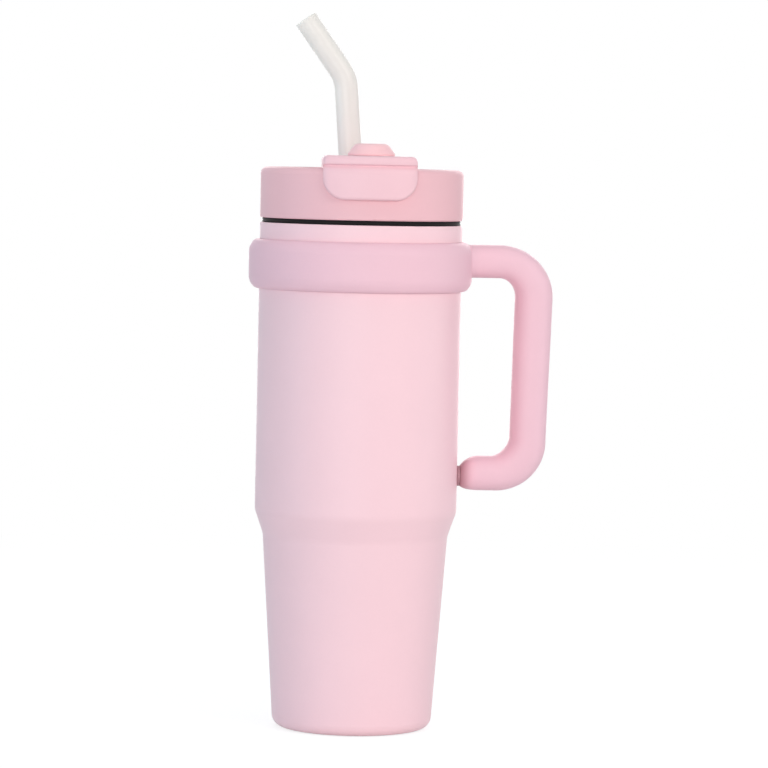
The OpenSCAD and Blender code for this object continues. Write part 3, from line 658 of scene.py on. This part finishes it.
def handle_rings():
    """Sections of the handle from its root in the collar, round the grip, to its tip."""
    size = settings().handle
    body_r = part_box("outer_shell")[1].y
    collar_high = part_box("collar_band")[1]
    collar_r = collar_high.y
    pad_low, pad_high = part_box("handle_foot")
    arm = Vector((size.arm_t / 2, size.arm_b / 2))
    low_arm = Vector((size.low_t / 2, size.arm_b / 2))
    grip = Vector((size.grip_t / 2, size.grip_b / 2))
    thin = grip - Vector((size.grip_thin / 2, 0))
    pad = Vector(((pad_high.z - pad_low.z) / 2, (pad_high.y - pad_low.y) / 2))
    arm_z = collar_high.z - size.arm_drop - arm.x
    low_z = (pad_low.z + pad_high.z) / 2 + size.tip_drop
    lean = size.grip_lean
    bend = size.bend_r
    top_x = body_r + size.grip_gap + grip.x - bend * cos(lean)
    length = (arm_z - low_z - 2 * bend) / cos(lean)
    low_x = top_x - length * sin(lean)

    def root(out, wide):
        """A section that follows the collar's round wall."""
        return [Vector((sqrt(collar_r ** 2 - across ** 2) + out, across, arm_z + up))
                for up, across in oval(arm.x, wide)]

    rings = [root(SEAT - size.root_in, arm.y + size.root_flare)]
    rings += [root(SEAT + size.flare_len * (1 - cos(a)),
                   arm.y + size.root_flare * (1 - sin(a))) for a in quarter(ROOT_STEPS)]
    lead = 1.5 * MM
    stations = [(top_x - lead, arm_z, 0, arm)]
    first = pi / 2 + lean
    for u in shares(BEND_STEPS):
        a = u * first
        stations.append((top_x + bend * sin(a), arm_z - bend * (1 - cos(a)), a,
                         arm.lerp(grip, ease(u))))
    x, z = stations[-1][:2]
    stations += [(x - u * length * sin(lean), z - u * length * cos(lean), first,
                  grip.lerp(thin, ease(u))) for u in shares(GRIP_STEPS)[1:-1]]
    last = pi / 2 - lean
    for u in shares(BEND_STEPS):
        a = first + u * last
        swell = Vector((size.bend_swell * sin(pi * u), 0))
        stations.append((low_x + bend * sin(a), low_z + bend * (1 + cos(a)), a,
                         thin.lerp(low_arm, ease(u)) + swell))
    tip_from = pad_high.x + SEAT + size.tip_len
    turn = size.tip_turn
    for share in shares(TIP_STEPS):
        a = turn * share
        u = sin(a) / sin(turn)
        off = (cos(a) - cos(turn)) / (1 - cos(turn))
        stations.append((tip_from - size.tip_len * u, low_z - size.tip_drop * u * u, pi,
                         pad.lerp(low_arm, off)))
    rings += [[Vector((x + up * sin(a), across, z + up * cos(a)))
               for up, across in oval(*section)] for x, z, a, section in stations]
    return rings


def pad_rings():
    """Sections of the soft pad from its middle on the body, over its edge, to the handle's tip."""
    steps, edge_steps, least = 6, 6, 0.05 * MM
    low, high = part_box("handle_foot")
    middle = (low + high) / 2
    body_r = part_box("outer_shell")[1].y
    edge = settings().handle.pad_edge
    tall, wide = (high.z - low.z) / 2, (high.y - low.y) / 2

    def ring(inset, depth, on_body):
        out = []
        for a in full_turn(SMALL):
            across = max(wide - inset, least) * sin(a)
            up = max(tall - inset, least) * cos(a)
            x = sqrt(body_r ** 2 - across ** 2) + SEAT + depth if on_body else high.x - depth
            out.append(Vector((x, middle.y + across, middle.z + up)))
        return out

    arcs = [(edge * (1 - sin(a)), edge * (1 - cos(a))) for a in quarter(edge_steps)]
    rings = [ring(tall * (1 - u), 0, True) for u in shares(steps)[1:-2]]
    rings += [ring(inset, depth, True) for inset, depth in arcs]
    rings += [ring(inset, depth, False) for depth, inset in arcs]
    rings += [ring(tall * u, 0, False) for u in shares(steps)[2:-1]]
    return rings


class BOTTLE_OT_handle(Operator):
    """Handle as one smooth oval sweep, with the soft pad that rests on the body"""
    bl_idname = "bottle.handle"
    bl_label = "Handle"

    def execute(self, context):
        stand_for(loft("handle", handle_rings(), "satin_handle"), "handle_arm", "vessel")
        stand_for(loft("pad", pad_rings(), "rubber_pad"), "handle_foot", "vessel")
        return {"FINISHED"}


class BOTTLE_OT_lid(Operator):
    """Lid, plug with its thread, valve and the soft seal on the rim"""
    bl_idname = "bottle.lid"
    bl_label = "Lid"

    def execute(self, context):
        self.make_cap()
        dress("lid_plug", "satin_lid")
        plug = settings().thread.plug_d / 2
        low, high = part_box("lid_gasket")
        inner = plug + 5 * SEAT
        tall = high.z - low.z
        lip, groove, bow = 0.28 * tall, 0.15 * tall, 0.2 * tall
        ring = rounded([(inner, low.z, lip), (high.x, low.z, lip), (high.x, low.z + lip, 0),
                        (high.x - groove, low.z + tall / 2, bow),
                        (high.x, high.z - lip, 0), (high.x, high.z, lip), (inner, high.z, lip)])
        stand_for(lathe("seal", ring, "rubber_seal", LARGE), "lid_gasket", "seal")
        ridge = thread("plug_thread", plug, 1, PLUG_TURNS, "satin_lid")
        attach(ridge, "lid")
        self.make_valve()
        return {"FINISHED"}

    def make_cap(self):
        """The lid's solid with its outer rim drawn to a softer round."""
        size = settings().lid
        flap = settings().flap
        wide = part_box("lid_cap")[1].x
        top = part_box("flip_cover")[1].z - flap.plate_t - flap.tab_gap
        mesh = frame["nodes"]["lid_cap"].data.copy()
        mesh.name = "lid"
        for vert in mesh.vertices:
            reach = vert.co.xy.length
            across, up = reach - (wide - size.solid_r), vert.co.z - (top - size.solid_r)
            if min(across, up) < -SEAT or abs(hypot(across, up) - size.solid_r) > SEAT:
                continue
            a = atan2(up, across)
            vert.co.xy *= (wide - size.rim_r * (1 - cos(a))) / reach
            vert.co.z = top - size.rim_r * (1 - sin(a))
        stand_for(new_object("lid", mesh, "satin_lid"), "lid_cap", "lid")

    def make_valve(self):
        """A mushroom valve: a thin domed disc under the plug's floor and a barbed stem."""
        low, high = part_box("vent_valve")
        middle = (low + high) / 2
        disc = (high.x - low.x) / 2
        lip, thin, dome = 0.8 * MM, 0.12 * MM, 2 * MM
        stem, barb = 1.35 * MM, 1.9 * MM
        face, neck = low.z + lip - SEAT, high.z - barb
        shape = rounded([(0, low.z, 0), (0.45 * disc, low.z, dome), (disc, low.z + 0.6 * lip, thin),
                         (disc, face, thin), (stem, face, FINE_EDGE), (stem, neck, 0),
                         (1.35 * stem, neck + EDGE, EDGE), (0.8 * stem, high.z, WIDE_EDGE),
                         (0, high.z, 0)])
        place = Matrix.Translation((middle.x, middle.y, 0))
        stand_for(lathe("valve", shape, "silicone_bush", SMALL, place), "vent_valve", "lid")


def joint_place(name):
    """Where a joint of the record lies."""
    joints = frame["record"]["behaviour"]["joints"]
    return Vector(next(joint["pos_m"] for joint in joints if joint["name"] == name))


def rise(x, half, radius):
    """How far a round corner of an outline stands off the straight edge at a distance across."""
    past = min(max(abs(x) - (half - radius), 0), radius)
    return radius - sqrt(radius ** 2 - past ** 2)


def flap_section(x, rear):
    """Section of the flip cover at a distance across, as (along, up) points."""
    size = settings().flap
    low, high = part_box("flip_cover")
    under = high.z - size.plate_t
    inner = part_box("lid_cap")[1].x + size.tab_gap
    fall = rise(x, high.x, size.face_r) / size.face_r
    # Shares that thin the tab and the crease at the sides, lean the shoulder and round the lips
    side_thin, crease_thin, brow, lip_inside, lip_outside = 0.5, 0.7, 0.3, 0.4, 0.55
    outer = inner + size.tab_t * (1 - side_thin * fall)
    groove = outer - size.crease_in * (1 - crease_thin * fall)
    shoulder = under - size.shoulder
    end = low.z + rise(x, high.x, size.corner_r)
    foot = outer + size.tab_flare * (shoulder - end) / (shoulder - low.z)
    thick = foot - inner
    back = hypot(rear, x)
    shape = [(back, under, WIDE_EDGE), (inner, under, size.tab_gap),
             (inner, end, lip_inside * thick), (foot, end, min(size.lip_r, lip_outside * thick)),
             (outer, shoulder, size.shoulder_r),
             (outer - brow * (outer - groove), under - size.crease / 2, size.shoulder_r),
             (groove, under + size.crease, size.crease / 3), (outer, under + size.strip, WIDE_EDGE),
             (outer, high.z, size.edge_r), (back, high.z, WIDE_EDGE)]
    return [Vector((-sqrt(max(r * r - x * x, 0)), z)) for r, z in rounded(shape, steps=6)]


def inset(outline, depth):
    """A closed outline of points moved to its inner side, square to their neighbours."""
    out = []
    for k, here in enumerate(outline):
        along = outline[(k + 1) % len(outline)] - outline[k - 1]
        normal = Vector((-along.y, along.x)).normalized()
        out.append(here + depth * normal)
    return out


def flap_rings():
    """Sections of the flip cover from side to side, rounded off at both sides."""
    size = settings().flap
    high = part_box("flip_cover")[1]
    half = high.x
    hinge = -joint_place("flip_open").y
    front = sqrt(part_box("lid_cap")[1].x ** 2 - half ** 2)
    slot = size.knuckle_w / 2 + size.tab_gap
    knuckle = half - size.plate_in - size.knuckle_in + size.tab_gap
    rears = ((slot, hinge + size.knuckle_d / 2 + size.tab_gap),
             (knuckle, hinge + size.pin_d / 2 + 3 * SEAT), (half, hinge))
    flat = half - size.side_r
    strip = high.z - size.plate_t + size.strip
    pace, fewest, side_steps = 0.7 * MM, 10, 9
    spots = []
    start = 0.0
    for stop, rear in rears:
        stop = min(stop, flat)
        for u in shares(max(fewest, round((stop - start) / pace))):
            along = sin(pi / 2 * u) if stop == flat else u
            spots.append((start + (stop - start) * along, rear, 0.0))
        start = stop
    spots += [(flat + size.side_r * sin(a), hinge, size.side_r * (1 - cos(a)))
              for a in quarter(side_steps)[1:]]

    def ring(x, rear, depth, side):
        out = []
        for y, z in inset(flap_section(x, rear), depth):
            back = min(max((y + front) / (front - hinge), 0), 1)
            across = x - size.plate_in * back * max((x - knuckle) / (half - knuckle), 0)
            drop = rise(across, half - size.plate_in * back, size.edge_r)
            z -= drop * max((z - strip) / (high.z - strip), 0)
            out.append(Vector((side * across, y, z)))
        return out

    left = [ring(*spot, -1) for spot in reversed(spots[1:])]
    return left + [ring(*spot, 1) for spot in spots]


class BOTTLE_OT_flip_cover(Operator):
    """Flip cover with its soft edges and knuckles, the hinge pin and the soft stopper"""
    bl_idname = "bottle.flip_cover"
    bl_label = "Flip cover"

    def execute(self, context):
        size = settings().flap
        stand_for(loft("flap", flap_rings(), "satin_flip", flat_ends=True), "flip_cover", "flip")
        near = size.knuckle_w / 2 + size.tab_gap
        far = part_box("flip_cover")[1].x - size.plate_in - size.knuckle_in
        bore, wall = size.pin_d / 2 + SEAT, size.knuckle_d / 2
        for side, turn in (("left", -1), ("right", 1)):
            tube = rounded([(bore, near, 0), (wall, near, EDGE), (wall, far, EDGE), (bore, far, 0)],
                           steps=4)
            place = (Matrix.Translation(joint_place("flip_open"))
                     @ Matrix.Rotation(turn * pi / 2, 4, "Y"))
            knuckle = lathe("knuckle_" + side, tube, "satin_flip", SMALL, place)
            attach(knuckle, "flip")
        dress("hinge_pin", "bare_steel")
        self.make_stopper()
        return {"FINISHED"}

    def make_stopper(self):
        """Round head on the plate, a neck through it, a lip and a ribbed cone in the spout."""
        size = settings().stopper
        low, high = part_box("spout_stopper")
        middle = (low + high) / 2
        plate_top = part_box("flip_cover")[1].z
        under = plate_top - settings().flap.plate_t - SEAT
        lip = under - size.lip_gap + 2 * SEAT
        head = plate_top + SEAT
        wide = (high.x - low.x) / 2
        cone, neck = size.cone_d / 2, size.neck_d / 2
        tall = lip - low.z
        hollow, hollow_r, ribs = 0.6 * MM, 1 * MM, (0.3, 0.65)
        shape = [(0, low.z + hollow, 0), (0.6 * cone, low.z, hollow_r),
                 (cone - size.cone_in, low.z, WIDE_EDGE)]
        for share in ribs:
            wall = cone - size.cone_in * (1 - share)
            z = low.z + share * tall
            shape += [(wall, z - 2 * size.rib, 0), (wall + size.rib, z, size.rib / 2),
                      (wall, z + 2 * size.rib, 0)]
        shape += [(cone, lip, 0), (size.lip_d / 2, lip, SEAT), (size.lip_d / 2, under, SEAT),
                  (neck, under, 0), (neck, head, 0), (wide, head, EDGE),
                  (wide, head + size.head_side, size.head_side),
                  (wide - size.head_in, high.z, size.head_r), (0, high.z, 0)]
        place = Matrix.Translation((middle.x, middle.y, 0))
        stand_for(lathe("stopper", rounded(shape), "silicone_stopper", MIDDLE, place),
                  "spout_stopper", "flip")


# Sections along the straw's straight part, its bend, its tip and a lip
RISE_STEPS, ARC_STEPS, END_STEPS, LIP_STEPS = 24, 20, 6, 6


class BOTTLE_OT_straw(Operator):
    """Straw as one smooth bent tube with rounded ends, and the soft bush round it"""
    bl_idname = "bottle.straw"
    bl_label = "Straw"

    def execute(self, context):
        size = settings().straw
        place = (Matrix.Translation(joint_place("straw_swivel"))
                 @ Matrix.Rotation(-size.lean, 4, "Y"))
        low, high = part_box("straw")
        radius = (high.y - low.y) / 2
        reach = size.bend_r * tan(size.bend / 2)
        foot = (place.translation.z - low.z) / cos(size.lean) - radius * tan(size.lean)
        path = [(0, -foot + (foot + size.rise - reach) * u, 0) for u in shares(RISE_STEPS)]
        for u in shares(ARC_STEPS)[1:]:
            a = size.bend * u
            path.append((-size.bend_r * (1 - cos(a)), size.rise - reach + size.bend_r * sin(a), a))
        x, z, _ = path[-1]
        rest = size.tip - reach
        path += [(x - rest * sin(size.bend) * u, z + rest * cos(size.bend) * u,
                  size.bend) for u in shares(END_STEPS)[1:]]

        def ring(spot, r, along=0.0):
            x, z, a = spot
            x, z = x - along * sin(a), z + along * cos(a)
            return [place @ Vector((x + r * cos(t) * cos(a), r * sin(t), z + r * cos(t) * sin(a)))
                    for t in full_turn(SMALL)]

        def lip(end, turn):
            """Rings over an end of the tube, from its outer to its inner wall."""
            out, back = size.lip_out, size.lip_in
            arcs = quarter(LIP_STEPS)
            over = [ring(end, radius - out * (1 - cos(a)), turn * out * (1 - sin(a)))
                    for a in arcs]
            return over + [ring(end, inner + back * (1 - cos(a)),
                                turn * back * (1 - sin(a))) for a in reversed(arcs)]

        inner = radius - size.wall
        rings = [ring(p, radius) for p in path[1:-1]] + lip(path[-1], -1)
        rings += [ring(p, inner) for p in reversed(path[1:-1])] + lip(path[0], 1)[::-1]
        stand_for(loft("straw_tube", rings, "satin_straw", loop=True), "straw", "straw")
        self.make_bush(place, radius)
        return {"FINISHED"}

    def make_bush(self, place, radius):
        size = settings().bush
        bore = radius + SEAT
        outer = bore + size.wall
        rim = outer + size.rim
        seat = size.port + SEAT
        top = size.port + size.flange
        edge = 0.45 * size.flange
        shape = rounded([(bore, -size.depth, EDGE), (outer, -size.depth, 2 * EDGE),
                         (outer, seat, 0), (rim, seat, FINE_EDGE), (rim, top, edge),
                         (bore, top, edge)])
        stand_for(lathe("bush", shape, "silicone_bush", MIDDLE, place), "straw_grommet", "bush")


# Stage

WHITE = (1, 1, 1, 1)
FLOOR_R, FLOOR_DROP = 1.6, 0.2 * MM
FADE = (0.25, 0.9)  # from where to where the floor fades to white
FLOOR_GREY = (0.8, 0.8, 0.8, 1)  # the floor as it throws light back
FLOOR_SHADE = (0.35, 0.35, 0.35, 1)  # how far the light and shade on it show
FLOOR_GLOW = 0.78  # what is added to them
SKY, SKY_POWER = (0.80, 0.93, 1.0, 1), 0.4
AIM = (0, 0, 0.17)
# Place and size in metres, power in watts and colour of each soft lamp
LAMPS = {
    "front": ((-0.6, -2.2, 0.42), (1.4, 0.8), 17.8, (1.0, 0.94, 0.90)),
    "key": ((1.3, -1.7, 0.95), (0.6, 0.6), 11.2, (1.0, 0.94, 0.91)),
    "right": ((2.0, -0.2, 0.3), (1.0, 0.6), 4.2, (1.0, 0.97, 0.96)),
    "left": ((-2.0, -0.4, 0.4), (1.0, 0.8), 4.5, (0.12, 0.64, 1.0)),
    "back": ((0.3, 2.2, 0.5), (1.6, 1.6), 22.0, (1.0, 0.96, 0.94)),
    "top": ((0.0, -0.3, 2.0), (1.4, 1.4), 7.0, (1.0, 1.0, 1.0)),
}


def hang(light, place, aim, power, colour):
    """A light at a place, turned to what it lights."""
    light.energy = power
    light.color = colour
    piece = bpy.data.objects.new(light.name, light)
    bpy.context.scene.collection.objects.link(piece)
    piece.location = place
    piece.rotation_euler = (Vector(aim) - Vector(place)).to_track_quat("-Z", "Y").to_euler()


def lamp(name, place, size, power, colour):
    """A soft rectangular lamp that lights the whole bottle."""
    light = bpy.data.lights.new(name, "AREA")
    light.shape = "RECTANGLE"
    light.size, light.size_y = size
    hang(light, place, AIM, power, colour)


def beam(name, place, aim, width, radius, power, colour):
    """A narrow lamp with a soft edge that lights one piece."""
    light = bpy.data.lights.new(name, "SPOT")
    light.spot_size, light.spot_blend = width, 1.0
    light.shadow_soft_size = radius
    hang(light, place, aim, power, colour)


def seen_directly(tree):
    """1 for rays that should find a plain white studio: camera, mirror and glass rays."""
    path = add(tree, "LightPath")
    first = add(tree, "Math", {0: path.outputs["Is Camera Ray"], 1: path.outputs["Is Glossy Ray"]},
                operation="MAXIMUM")
    return add(tree, "Math", {0: first, 1: path.outputs["Is Transmission Ray"]},
               operation="MAXIMUM")


class BOTTLE_OT_stage(Operator):
    """Pale floor, soft studio light and the camera"""
    bl_idname = "bottle.stage"
    bl_label = "Stage"

    def execute(self, context):
        scene = context.scene
        scene.view_settings.view_transform = "Standard"
        self.make_floor(scene)
        self.make_world(scene)
        for name, values in LAMPS.items():
            lamp(name, *values)
        beam("straw_side", place=(-1.2, 0.0, 0.48), aim=(-0.012, 0.015, 0.335),
             width=radians(8), radius=0.08, power=22.0, colour=(1.0, 0.93, 0.86))
        self.make_camera(scene)
        return {"FINISHED"}

    def make_floor(self, scene):
        """A pale disc with a hole that the foot ring hides, clear to those who look from below."""
        sides = 96
        spots = [(r * cos(a), r * sin(a), -FLOOR_DROP)
                 for r in (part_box("base_cover")[1].x, FLOOR_R) for a in full_turn(sides)]
        faces = [(k, sides + k, sides + (k + 1) % sides, (k + 1) % sides) for k in range(sides)]
        mesh = bpy.data.meshes.new("floor")
        mesh.from_pydata(spots, [], faces)
        floor = bpy.data.objects.new("floor", mesh)
        scene.collection.objects.link(floor)
        material, tree, shader = new_material("floor")
        fill(tree, shader, {"Base Color": FLOOR_GREY, "Roughness": 0.9, "Specular IOR Level": 0.1})
        shadow = add(tree, "BsdfDiffuse", {"Color": FLOOR_SHADE})
        glow = add(tree, "Emission", {"Color": WHITE, "Strength": FLOOR_GLOW})
        lit = add(tree, "AddShader", {0: shadow, 1: glow})
        white = add(tree, "Emission", {"Color": WHITE})
        reach = add(tree, "VectorMath", {0: add(tree, "TexCoord").outputs["Object"]},
                    operation="LENGTH")
        far = add(tree, "MapRange", {"Value": reach.outputs["Value"], "From Min": FADE[0],
                                     "From Max": FADE[1]}, interpolation_type="SMOOTHSTEP")
        seen = add(tree, "MixShader", {0: far, 1: lit, 2: white})
        both = add(tree, "MixShader", {0: seen_directly(tree), 1: shader, 2: seen})
        sided = add(tree, "MixShader", {0: add(tree, "NewGeometry").outputs["Backfacing"],
                                        1: both, 2: add(tree, "BsdfTransparent")})
        fill(tree, node_of(tree, "OUTPUT_MATERIAL"), {"Surface": sided})
        mesh.materials.append(material)

    def make_world(self, scene):
        world = bpy.data.worlds.new("studio")
        scene.world = world
        world.use_nodes = True
        tree = world.node_tree
        shade = node_of(tree, "BACKGROUND")
        fill(tree, shade, {"Color": SKY, "Strength": SKY_POWER})
        white = add(tree, "Background", {"Color": WHITE})
        both = add(tree, "MixShader", {0: seen_directly(tree), 1: shade, 2: white})
        fill(tree, node_of(tree, "OUTPUT_WORLD"), {"Surface": both})

    def make_camera(self, scene):
        size = settings().stage
        data = bpy.data.cameras.new("camera")
        camera = bpy.data.objects.new("camera", data)
        scene.collection.objects.link(camera)
        data.sensor_fit = "HORIZONTAL"
        data.sensor_width = SENSOR
        data.lens = SENSOR * size.focal / IMAGE_SIDE
        data.clip_end = 50
        back = Vector((sin(size.azimuth), -cos(size.azimuth), 0))
        side = Vector((cos(size.azimuth), sin(size.azimuth), 0))
        shift = side * size.aim_side
        camera.location = back * size.distance + shift + Vector((0, 0, size.height))
        aim = shift + Vector((0, 0, size.aim_height))
        look = (aim - camera.location).to_track_quat("-Z", "Y")
        camera.rotation_mode = "QUATERNION"
        camera.rotation_quaternion = look @ Quaternion((0, 0, 1), size.roll)
        scene.camera = camera


STEPS = ("body", "collar", "handle", "lid", "flip_cover", "straw", "stage")


class BOTTLE_PT_panel(Panel):
    """Pieces of the bottle and the settings that they use"""
    bl_label = "Bottle"
    bl_idname = "BOTTLE_PT_panel"
    bl_space_type = "VIEW_3D"
    bl_region_type = "UI"
    bl_category = "Bottle"

    def draw(self, context):
        column = self.layout.column()
        for step in STEPS:
            column.operator("bottle." + step)
        for group in BottleSettings.__annotations__:
            values = getattr(context.scene.bottle, group)
            box = self.layout.box()
            for name in values.__annotations__:
                box.prop(values, name)


CLASSES = (
    BottleColours, HandleSizes, LidSizes, FlapSizes, StopperSizes, BushSizes, StrawSizes,
    ThreadSizes, StageSettings, BottleSettings,
    BOTTLE_OT_body, BOTTLE_OT_collar, BOTTLE_OT_handle, BOTTLE_OT_lid, BOTTLE_OT_flip_cover,
    BOTTLE_OT_straw, BOTTLE_OT_stage, BOTTLE_PT_panel,
)


def register():
    for cls in CLASSES:
        bpy.utils.register_class(cls)
    bpy.types.Scene.bottle = PointerProperty(type=BottleSettings)


def unregister():
    del bpy.types.Scene.bottle
    for cls in reversed(CLASSES):
        bpy.utils.unregister_class(cls)


def main():
    register()
    for step in STEPS:
        getattr(bpy.ops.bottle, step)()


if __name__ == "__main__":
    main()
